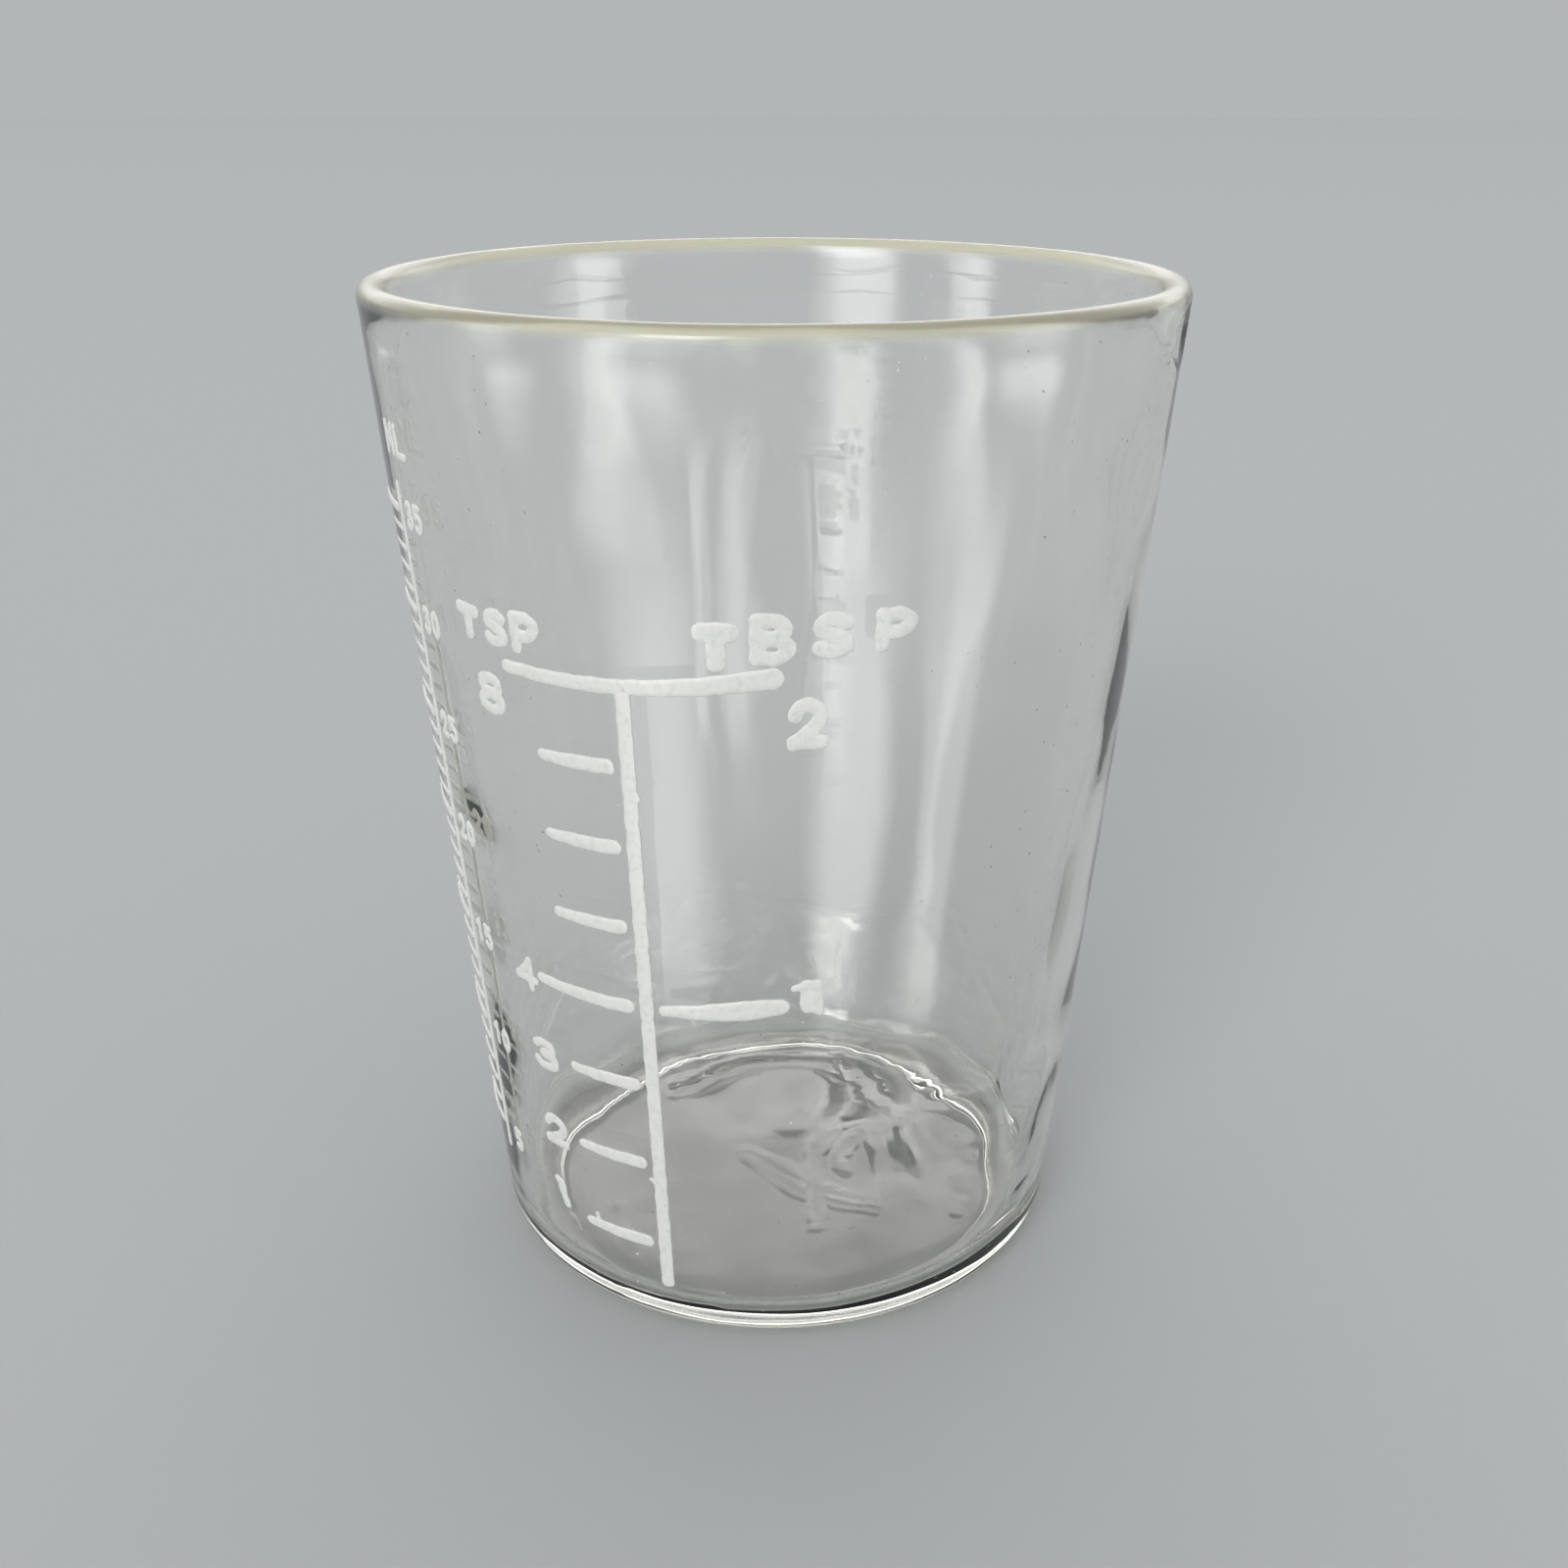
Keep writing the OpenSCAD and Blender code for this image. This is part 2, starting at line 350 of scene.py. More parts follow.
@dataclass(frozen=True)
class PressedGlass:
    """Clear soda-lime glass, pressed and fire-polished: water-clear on the flat, cream in its depth."""

    tint: str = "#EAE9CC"
    tint_depth: float = 34.0  # millimetres of glass that give that tint
    spare_density: float = 1.05  # keeps the colour that is absorbed most just over black
    ior: float = 1.52
    scuffed_below: Point2 = (0.8, 1.1)  # heights over which the satin of the worn heel ends, mm
    scuffed_outside: Point2 = (12.4, 12.8)  # radii over which it starts, so that the hollow stays clear, mm
    scuffed_roughness: float = 0.4
    worn_lip: Point2 = (50.8, 51.6)  # heights over which the wear of the lip by washing starts, mm
    lip_roughness: float = 0.23
    crest: Point2 = (51.15, 51.65)  # heights over which the painted glow at the top of the lip starts, mm
    bloom: float = 0.36  # share of the top of the lip turned from clear glass to diffuse cream, a painted glow
    # colour of the painted glow on the top of the lip
    bloom_colour: str = "#F6F2D4"
    broken: float = 0.6  # share of the light that a chip's broken face scatters
    broken_reach: Point3 = (1.1, 2.3, 1.15)  # half the size of that face, mm
    broken_fade: Point2 = (0.75, 1.0)  # shares of that size over which it ends
    speck_spacing: float = 0.9  # mean distance between the seeds and specks in the glass, mm
    speck_size: float = 0.06
    speck_depth: float = 0.02  # how deep the lens of one is, mm
    ripple_pitch: float = 0.6  # spacing of the fine chill marks, mm
    ripple_packing: Point3 = (0.16, 0.16, 1.0)  # stretched along the wall and packed along the axis
    ripple_depth: float = 0.0024

    def material(self, chip: Point3) -> Material:
        """Make the material: a smooth refracting surface over an absorbing body.

        Args:
            chip: the middle of the chip in the lip, mm.

        Returns:
            The glass, worn at the lip and the foot and rough where it is chipped.
        """
        mat, tree, place = start_material("pressed_soda_lime_glass")
        packed = vector_calc(tree, "MULTIPLY", place, self.ripple_packing)
        ripples = relief(tree, noise(tree, packed, self.ripple_pitch, Detail=1.0), self.ripple_depth)
        # Seeds and specks stand alone, each a tiny lens that gives the clear glass its sparkle.
        spread = {"Vector": place, "Scale": 1 / (self.speck_spacing * MM)}
        cells = add_node(tree, "ShaderNodeTexVoronoi", spread)
        edge = self.speck_size / self.speck_spacing
        speck = span(tree, cells.outputs["Distance"], (0.0, edge), (1.0, 0.0))
        # The heel is scuffed satin and the lip is a little dull: both scatter light into the glass.
        in_mm = vector_calc(tree, "DIVIDE", place, (MM, MM, MM))
        height = add_node(tree, "ShaderNodeSeparateXYZ", {"Vector": in_mm}).outputs["Z"]
        reach = vector_calc(tree, "LENGTH", vector_calc(tree, "MULTIPLY", in_mm, (1.0, 1.0, 0.0)))
        under = span(tree, height, self.scuffed_below, (self.scuffed_roughness, 0.0))
        over = span(tree, height, self.worn_lip, (0.0, self.lip_roughness))
        worn = calc(tree, "MULTIPLY_ADD", under, span(tree, reach, self.scuffed_outside), over)
        off = vector_calc(tree, "DIVIDE", vector_calc(tree, "SUBTRACT", in_mm, chip), self.broken_reach)
        away = vector_calc(tree, "LENGTH", off)
        torn = span(tree, away, self.broken_fade, (self.scuffed_roughness, 0.0))
        # Painted glow: the top of the lip is partly a diffuse cream surface, standing in for light that runs
        # up inside the wall and leaves there.
        clear = span(tree, height, self.crest, (1.0, 1 - self.bloom))
        whole = span(tree, away, self.broken_fade, (1 - self.broken, 1.0))
        surface = {
            "Base Color": blend(tree, span(tree, height, self.crest), "#FFFFFF", self.bloom_colour),
            "Roughness": calc(tree, "ADD", worn, torn),
            "IOR": self.ior,
            "Transmission Weight": calc(tree, "MULTIPLY", clear, whole),
            "Normal": relief(tree, speck, self.speck_depth, Normal=ripples),
        }
        # Absorption over the tint's depth gives the tint: density times what the colour takes away.
        loss = [-math.log(c) / (self.tint_depth * MM) for c in linear(self.tint)[:3]]
        density = max(loss) * self.spare_density
        colour = (*(1 - x / density for x in loss), 1.0)
        body = add_node(tree, "ShaderNodeVolumeAbsorption", {"Color": colour, "Density": density})
        end_material(tree, surface, body.outputs[0])
        return mat


@dataclass(frozen=True)
class FiredEnamel:
    """White vitreous enamel, screened on and fired: a thick soft gloss with thin spots and pinholes."""

    thick: str = "#F4F4F0"
    thin: str = "#E7E8E5"
    mottle_size: float = 0.35  # millimetres from one thin spot to the next
    mottle_range: Point2 = (0.3, 0.52)  # values of the noise over which it goes from thin to thick
    grain_size: float = 0.09
    grain_depth: float = 0.006
    grain_strength: float = 0.5
    roughness: float = 0.34

    def material(self) -> Material:
        """Make the material: mottled white with the fine pitting of fired powder."""
        mat, tree, place = start_material("fired_white_enamel")
        mottle = noise(tree, place, self.mottle_size, Detail=3.0, Roughness=0.6)
        grain = noise(tree, place, self.grain_size, Detail=2.0)
        surface = {
            "Base Color": blend(tree, span(tree, mottle, self.mottle_range), self.thin, self.thick),
            "Roughness": self.roughness,
            "Normal": relief(tree, grain, self.grain_depth, Strength=self.grain_strength),
        }
        end_material(tree, surface)
        return mat


@dataclass(frozen=True)
class StudioPaper:
    """Pale grey background paper, fully matt: an even ground that keeps the cup's shadow."""

    colour: str = "#B4B7B8"
    roughness: float = 0.7
    sheen: float = 0.0

    def material(self) -> Material:
        """Make the material: one even colour with a dull surface."""
        mat = bpy.data.materials.new("pale_grey_paper")
        mat.use_nodes = True
        surface = mat.node_tree.nodes["Principled BSDF"]
        surface.inputs["Base Color"].default_value = linear(self.colour)
        surface.inputs["Roughness"].default_value = self.roughness
        surface.inputs["Specular IOR Level"].default_value = self.sheen
        return mat


@dataclass(frozen=True)
class Stroke:
    """A path with round ends and its width along the way, in mm: a pull of enamel or a fold in glass."""

    points: Sequence[Point2]
    widths: tuple[float, ...]
    curved: bool = False

    def path(self) -> tuple[Array, Array]:
        """Give the path as short straight steps.

        Returns:
            The points of the path and the width at each.
        """
        points = np.array(self.points, float)
        widths = np.interp(np.linspace(0, 1, len(points)), np.linspace(0, 1, len(self.widths)), self.widths)
        if not self.curved:
            return points, widths
        steps = 6
        padded = np.vstack([2 * points[0] - points[1], points, 2 * points[-1] - points[-2]])
        rows, wide = [points[0]], [widths[0]]
        for i in range(len(points) - 1):
            a, b, c, d = padded[i : i + 4]
            for t in np.arange(1, steps + 1) / steps:
                bend = (2 * a - 5 * b + 4 * c - d) * t**2 + (3 * b - a - 3 * c + d) * t**3
                rows.append(0.5 * (2 * b + (c - a) * t + bend))
                wide.append(widths[i] + (widths[i + 1] - widths[i]) * t)
        return np.array(rows), np.array(wide)

    def depth(self, x: Array, z: Array) -> Array:
        """Give the distance from each point to the stroke's edge, negative inside it."""
        path, widths = self.path()
        nearest = np.full(x.shape, FAR)
        for i in range(len(path) - 1):
            (ax, az), (bx, bz) = path[i], path[i + 1]
            square = (bx - ax) ** 2 + (bz - az) ** 2
            t = np.clip(((x - ax) * (bx - ax) + (z - az) * (bz - az)) / max(square, TINY), 0, 1)
            away = np.hypot(x - ax - t * (bx - ax), z - az - t * (bz - az))
            nearest = np.minimum(nearest, away - (widths[i] + (widths[i + 1] - widths[i]) * t) / 2)
        return nearest


@dataclass
class GlassCup:
    """The one piece of glass, turned from its section and then let flow a little as pressed glass does."""

    shape: CupShape
    finish: PressedGlass = field(default_factory=PressedGlass)
    sides: int = 384
    turning_radius: float = 40.0  # radius of the path that the section is swept along, mm
    weld: float = 0.002  # distance under which two points are one, mm
    fine_from: float = 5.0  # distance from the top within which the wall is cut finer, for the chip, mm
    outer: tuple[Undulation, ...] = (
        Undulation(5, (6, 15), (22, 70)),
        Undulation(6, (1.6, 3.2), (50, 110), share=0.3),
        Undulation(8, (30, 60), (5, 11), share=0.5),
    )
    outer_wave: float = 0.02
    plunger: tuple[Undulation, ...] = (
        Undulation(21, (5, 13), (16, 60)),
        Undulation(22, (18, 40), (4, 9), share=0.35),
    )
    inner_wave: float = 0.06
    lip: Undulation = Undulation(51, (5, 14), (20, 40))
    lip_wave: float = 0.03
    lip_fade: Point2 = (1.5, 0.5)  # distances from the top over which the lip's waves start, mm
    pool: tuple[Undulation, ...] = (
        Undulation(33, (5.5, 10), (6, 14)),
        Undulation(34, (2.6, 4.5), (3, 6), share=0.3),
    )
    pool_fade: Point2 = (1.5, 7.5)  # heights over the floor over which the pool's waves end, mm
    floor_wave: float = 0.1
    creases: tuple[Undulation, ...] = tuple(Undulation(seed, (8, 15), (14, 30), 8) for seed in (35, 38))
    crease: float = 0.5  # height of the wide creases in the floor, as a share of its waves
    crease_round: float = 0.006  # rounds their ridges
    fold_height: float = 0.11
    fold_half: float = 0.8  # distance from a fold's ridge to its foot, mm
    fold_fade: Point2 = (2.0, 8.0)  # heights over the floor over which the folds end, mm
    # The folds that the floor shows: the width of each and its way as x and y from the middle, mm.
    folds: tuple[tuple[float | Point2, ...], ...] = (
        (0.2, (-6.6, 7.5), (-5.0, 8.1), (-1.6, 9.7), (1.6, 9.2), (4.1, 8.5), (6.0, 8.1)),
        (0.3, (6.0, 8.1), (7.7, 7.0), (8.3, 5.2), (8.9, 1.9), (9.6, -1.2), (10.3, -4.4)),
        (0.3, (7.2, 10.8), (8.5, 9.0), (9.4, 6.8), (10.6, 5.2), (12.4, 4.3), (13.8, 4.2)),
        (0.2, (4.3, 11.3), (4.4, 9.4), (5.2, 8.0), (5.3, 5.7), (4.5, 4.4)),
        (0.2, (2.3, 0.7), (3.0, 1.6), (3.9, 2.7), (5.2, 3.3), (6.0, 2.3), (6.5, 0), (6.5, -4.2)),
        (0.15, (3.8, -0.8), (4.0, 0.7), (4.9, 2.3), (5.5, 3.1)),
        (0.1, (2.2, 0.7), (2.0, -3.4), (2.1, -6.3)),
        (0.15, (-1.5, -0.4), (-0.1, -1.9), (1.5, -3.2), (3.8, -4.3), (6.0, -4.9)),
        (0.2, (-11.7, -6.2), (-10.8, -8.2), (-8.9, -10.8), (-6.3, -12.4), (-3.3, -13.3)),
        (0.15, (-9.2, -4.8), (-8.8, -6.9), (-7.6, -8.9)),
    )
    calm_share: float = 0.15  # share of the floor's waves that is left at the calm side
    calm_from: float = 235.0  # direction of the calmest and thinnest part, degrees anticlockwise from +x
    calm_edge: Point2 = (-0.6, 0.35)  # cosines from that direction over which the calm side starts
    calm_middle: float = 9.0  # radius within which the calm fades to the middle, mm
    floor_tilt: float = 0.62  # how far the floor's edge stands high on one side and low on the other
    tilt_fade: Point2 = (2.0, 9.0)  # heights over the floor over which the tilt ends, mm
    bead: float = 0.2  # how far the wall swells inwards under the lip
    bead_drop: float = 1.6  # distance of the swelling from the top, mm
    bead_half: float = 0.75
    under: Undulation = Undulation(41, (2.2, 5), (2, 5))
    under_wave: float = 0.02
    step_power: float = 40.0  # how steeply the hollow rises from the standing ring
    chip_angle: float = -20.0  # direction of the chip under the lip, degrees anticlockwise from +x
    chip_drop: float = 2.3  # distance of its middle from the top, mm
    chip_half: Point2 = (2.4, 1.15)  # half its width and height, mm
    chip_depth: float = 0.34
    chip_ripple: float = 0.25  # height of the ripples in it, as a share of its depth
    chip_turns: float = 9.0  # radians of ripple over half its width
    chip_blow: float = 0.6  # how far beside its middle they spread from, as a share of half its width

    def arc(self, centre: Point2, radius: float, start: float, end: float, steps: int) -> Array:
        """Give points on an arc of the section, from one direction to another, in radians."""
        turn = np.linspace(start, end, steps + 1)
        return np.stack([centre[0] + radius * np.cos(turn), centre[1] + radius * np.sin(turn)], axis=1)

    def straight(self, wall: Callable, start: float, end: float, steps: int) -> Array:
        """Give points down or up one face of the wall."""
        z = np.linspace(start, end, steps + 1)
        return np.stack([wall(z), z], axis=1)

    def section(self) -> tuple[Array, Array]:
        """Lay out the section from under the floor, round the heel, over the lip and back to the floor.

        Returns:
            The radius and height of each point, and its side: -1 underneath, 0 outside, 1 inside.
        """
        s = self.shape
        lean, half_pi = s.lean, math.pi / 2
        heel_x, heel_z = s.heel_centre
        lip_x, lip_z = s.lip_centre
        corner_x, corner_z = s.corner_centre
        share = 1 - np.linspace(1, 0, 25) ** 3
        hollow = np.stack([(heel_x - s.seat) * share, s.push_up * (1 - share**self.step_power)], axis=1)
        dish_r = s.cap_radius(corner_x, s.dish)
        dish_z = s.floor - s.dish + dish_r
        heel_top = s.outside(heel_z) - s.outside(0) + heel_z
        fine = s.height - self.fine_from
        clear = 0.4  # how far a straight run keeps off the rounds, mm
        # Each run of points comes with the side at its start and at its end.
        runs = [
            (hollow, -1, -1),
            (np.array([[heel_x - s.seat / 2, 0.0]]), -1, -1),
            (self.arc((heel_x, heel_z), s.heel_radius, -half_pi, -lean, 16), -1, 0),
            (self.straight(s.outside, heel_top + clear, fine, 33), 0, 0),
            (self.straight(s.outside, fine + 0.3, lip_z - s.lip_radius, 12), 0, 0),
            (self.arc((lip_x, lip_z), s.lip_radius, -lean, math.pi - lean, 18), 0, 1),
            (self.straight(s.inside, lip_z - s.lip_radius, corner_z + clear, 42), 1, 1),
            (self.arc((corner_x, corner_z), s.corner_radius, -lean, -half_pi, 18), 1, 1),
            (self.arc((0, dish_z), dish_r, -math.acos(corner_x / dish_r), -half_pi, 84)[1:], 1, 1),
        ]
        points = np.vstack([run for run, _, _ in runs])
        side = np.concatenate([np.linspace(a, b, len(run)) for run, a, b in runs])
        points[[0, -1], 0] = 0.0
        return points, side

    def turning_tree(self) -> Tree:
        """Build the node tree that turns a section into a closed vessel."""
        finish = self.finish.material(self.chip_middle())
        values = {"Sides": self.sides, "Path Radius": self.turning_radius * MM, "Finish": finish}
        tree, given = start_tree("turned_vessel", values)
        section = chain(tree, "MeshToCurve", given["Pattern"])
        ring = {"Resolution": given["Sides"], "Radius": given["Path Radius"]}
        circle = add_node(tree, "GeometryNodeCurvePrimitiveCircle", ring).outputs[0]
        # With its normals kept level, the path carries the section's x outwards and its y downwards.
        path = chain(tree, "SetCurveNormal", circle, mode="Z_UP")
        swept = chain(tree, "CurveToMesh", path, {"Profile Curve": section})
        closed = chain(tree, "MergeByDistance", swept, {"Distance": self.weld * MM})
        smooth = chain(tree, "SetShadeSmooth", chain(tree, "FlipFaces", closed))
        return end_tree(tree, smooth, given["Finish"])

    def sunk(self, waves: Array) -> Array:
        """Turn waves into a depth between about 0 and 1, so that they only cut into the surface."""
        return 0.5 + 0.35 * np.clip(waves, -1.4, 1.4)

    def near_floor(self, z: Array, fade: Point2) -> Array:
        """Fall from 1 near the floor to 0 over a range of heights above it."""
        return 1 - smooth_step(self.shape.floor + fade[0], self.shape.floor + fade[1], z)

    def flow(self, mesh: Mesh) -> None:
        """Move the surface by the slow waves of pressed glass, never out past the mould's own wall.

        Args:
            mesh: the turned vessel, whose side attribute tells its faces apart.
        """
        s = self.shape
        count = len(mesh.vertices)
        place, normal, side = np.empty((count, 3)), np.empty((count, 3)), np.empty(count)
        mesh.vertices.foreach_get("co", place.ravel())
        mesh.vertices.foreach_get("normal", normal.ravel())
        mesh.attributes["side"].data.foreach_get("value", side)
        place /= MM
        x, y, z = place.T
        around, reach = np.arctan2(y, x), np.hypot(x, y)
        outer = -self.outer_wave * self.sunk(total(self.outer, place))
        under = -self.under_wave * self.sunk(self.under.at(place))
        pool = total(self.pool, place)
        for crease in self.creases:
            pool -= self.crease * np.sqrt(crease.at(place) ** 2 + self.crease_round)
        # The glass ran less on the calm side, where the floor is thin and its ring is even.
        facing = np.cos(around - math.radians(self.calm_from))
        calm = smooth_step(*self.calm_edge, facing * smooth_step(0, self.calm_middle, reach))
        pool *= 1 - (1 - self.calm_share) * calm
        near = self.near_floor(z, self.pool_fade)
        inner = self.inner_wave * total(self.plunger, place) * (1 - near) + self.floor_wave * pool * near
        ridge = np.zeros(count)
        for width, *way in self.folds:
            away = Stroke(way, (width,), curved=True).depth(x, y)
            ridge = np.maximum(ridge, 1 - smooth_step(0, self.fold_half, away))
        inner += self.fold_height * ridge * self.near_floor(z, self.fold_fade)
        # The wall swells to a bead under the lip, and the lip itself only draws in.
        inner += self.bead * np.exp(-(((z - (s.height - self.bead_drop)) / self.bead_half) ** 2))
        at_lip = smooth_step(s.height - self.lip_fade[0], s.height - self.lip_fade[1], z)
        inner += (-self.lip_wave * self.sunk(self.lip.at(place)) - inner) * at_lip
        move = np.where(side > 0, side * inner + (1 - side) * outer, -side * under + (1 + side) * outer)
        # A flake is gone under the lip: a shallow shell-shaped scar with a few ripples in it.
        across = s.rim_radius * (around - math.radians(self.chip_angle)) / self.chip_half[0]
        along = (z - (s.height - self.chip_drop)) / self.chip_half[1]
        scar = np.sqrt(np.clip(1 - across**2 - along**2, 0, 1))
        scar *= 1 + self.chip_ripple * np.cos(self.chip_turns * np.hypot(across + self.chip_blow, along))
        move -= self.chip_depth * scar * (1 - np.clip(side, 0, 1))
        place += normal * move[:, None]
        low = np.clip(side, 0, 1) * self.near_floor(z, self.tilt_fade)
        place[:, 2] -= self.floor_tilt * low * facing * reach / s.inside(s.floor)
        mesh.vertices.foreach_set("co", (place * MM).ravel())
        mesh.update()

    def chip_middle(self) -> Point3:
        """Give the middle of the chip on the outer wall, mm."""
        z, turn = self.shape.height - self.chip_drop, math.radians(self.chip_angle)
        return self.shape.outside(z) * math.cos(turn), self.shape.outside(z) * math.sin(turn), z

    def build(self) -> Object:
        """Turn the section, let the surface flow and stand the glass in the scene.

        Returns:
            The glass, ready to replace its plain solid.
        """
        points, side = self.section()
        outline = bpy.data.meshes.new("section")
        rows = [((r - self.turning_radius) * MM, -z * MM, 0.0) for r, z in points]
        outline.from_pydata(rows, [(i, i + 1) for i in range(len(rows) - 1)], [])
        outline.attributes.new("side", "FLOAT", "POINT").data.foreach_set("value", side)
        mesh = grow("glass", put_in("glass_section", outline), self.turning_tree())
        self.flow(mesh)
        return put_in("glass", mesh)


@dataclass
class EnamelMark:
    """One deposit of enamel on the outer wall, as the flat screen's opening meets the glass."""

    name: str
    shape: CupShape
    angle: float  # direction of the screen in degrees from the front, minus is left
    strokes: tuple[Stroke, ...]
    cell: float = 0.06
    crown: float = 0.062  # height of the deposit over the glass, mm
    edge: float = 0.022
    root: float = 0.035  # how far it lies in the glass, so that no gap shows
    slump: float = 0.2  # width over which its rounded edge rises
    ragged: float = 0.018
    flow_together: float = 0.05
    notches: tuple[Undulation, ...] = (
        Undulation(61, (0.7, 1.9), (0.7, 1.9), 18),
        Undulation(62, (0.24, 0.5), (0.24, 0.5), 18, share=0.45),
    )
    lumps: Undulation = Undulation(63, (0.7, 1.5), (0.7, 1.5), 12, share=0.08)

    def on_screen(self, x: Array, z: Array) -> Array:
        """Give points of the screen as rows, clear of the other screens."""
        return np.stack([x.ravel() + self.angle, np.zeros(x.size), z.ravel()], axis=1)

    def depth(self, x: Array, z: Array) -> Array:
        """Give the distance to the deposit's ragged edge, negative inside it."""
        merged = sum(np.exp(-stroke.depth(x, z) / self.flow_together) for stroke in self.strokes)
        clean = -self.flow_together * np.log(np.maximum(merged, TINY))
        return clean + self.ragged * total(self.notches, self.on_screen(x, z)).reshape(x.shape)

    def on_glass(self, x: Array, z: Array, lift: Array) -> Array:
        """Place points of the flat screen on the wall.

        Args:
            x: distance right of the screen's middle, mm.
            z: height, mm.
            lift: distance out from the glass, mm.

        Returns:
            One row of x, y and z in metres for each point.
        """
        radius = self.shape.outside(z)
        turn = math.radians(self.angle) + np.arcsin(x / radius)
        out = radius + lift * math.cos(self.shape.lean)
        up = z - lift * math.sin(self.shape.lean)
        return np.stack([out * np.sin(turn), -out * np.cos(turn), up], axis=1) * MM

    def outline_cells(self) -> tuple[Array, Array, Array, list[list[int]]]:
        """Cut the screen into cells and keep what lies inside the deposit's edge.

        Returns:
            The x, the z and the depth of each point, and the corners of each cell, anticlockwise.
        """
        path = np.vstack([stroke.path()[0] for stroke in self.strokes])
        margin = max(max(stroke.widths) for stroke in self.strokes) / 2 + 4 * self.cell
        low, high = path.min(axis=0) - margin, path.max(axis=0) + margin
        columns, rows = (np.arange(a, b + self.cell, self.cell) for a, b in zip(low, high))
        depth = self.depth(*np.meshgrid(columns, rows))
        points, faces, known = [], [], {}

        def number(key: tuple, x: float, z: float, deep: float) -> int:
            """Number a point by its key, and note it when it is new."""
            if key not in known:
                known[key] = len(points)
                points.append((x, z, deep))
            return known[key]

        def crossing(a: tuple[int, int], b: tuple[int, int]) -> int:
            """Number the point where the edge crosses the side from a to b."""
            (ja, ia), (jb, ib) = key = (min(a, b), max(a, b))
            # It keeps off the cell's corners, so that no sliver of a face is cut.
            t = np.clip(depth[ja, ia] / (depth[ja, ia] - depth[jb, ib]), 0.1, 0.9)
            x = columns[ia] + t * (columns[ib] - columns[ia])
            return number(key, x, rows[ja] + t * (rows[jb] - rows[ja]), 0.0)

        inside = depth < 0
        touched = inside[:-1, :-1] | inside[:-1, 1:] | inside[1:, 1:] | inside[1:, :-1]
        for j, i in zip(*np.nonzero(touched)):
            ring = [(j, i), (j, i + 1), (j + 1, i + 1), (j + 1, i)]
            face = []
            for a, b in zip(ring, ring[1:] + ring[:1]):
                if inside[a]:
                    face.append(number(a, columns[a[1]], rows[a[0]], depth[a]))
                if inside[a] != inside[b]:
                    face.append(crossing(a, b))
            faces.append(face)
        return *np.array(points).T, faces

    def build(self, finish: Material) -> Object:
        """Raise the outline into a closed deposit with a rounded crown.

        Args:
            finish: the enamel's material.

        Returns:
            The deposit, placed on the wall.
        """
        x, z, depth, faces = self.outline_cells()
        rise = np.sqrt(smooth_step(0, self.slump, -depth)) * (1 + self.lumps.at(self.on_screen(x, z)))
        top = self.on_glass(x, z, self.edge + (self.crown - self.edge) * rise)
        back = self.on_glass(x, z, np.full(len(x), -self.root))
        count = len(x)
        sides = {}
        for face in faces:
            for a, b in zip(face, face[1:] + face[:1]):
                if (b, a) in sides:
                    del sides[b, a]
                else:
                    sides[a, b] = (b, a, a + count, b + count)
        under = [[v + count for v in reversed(face)] for face in faces]
        mesh = bpy.data.meshes.new(self.name)
        mesh.from_pydata(np.vstack([top, back]).tolist(), [], faces + under + list(sides.values()))
        mesh.polygons.foreach_set("use_smooth", [i < len(faces) for i in range(len(mesh.polygons))])
        mesh.materials.append(finish)
        mesh.update()
        return put_in(self.name, mesh)


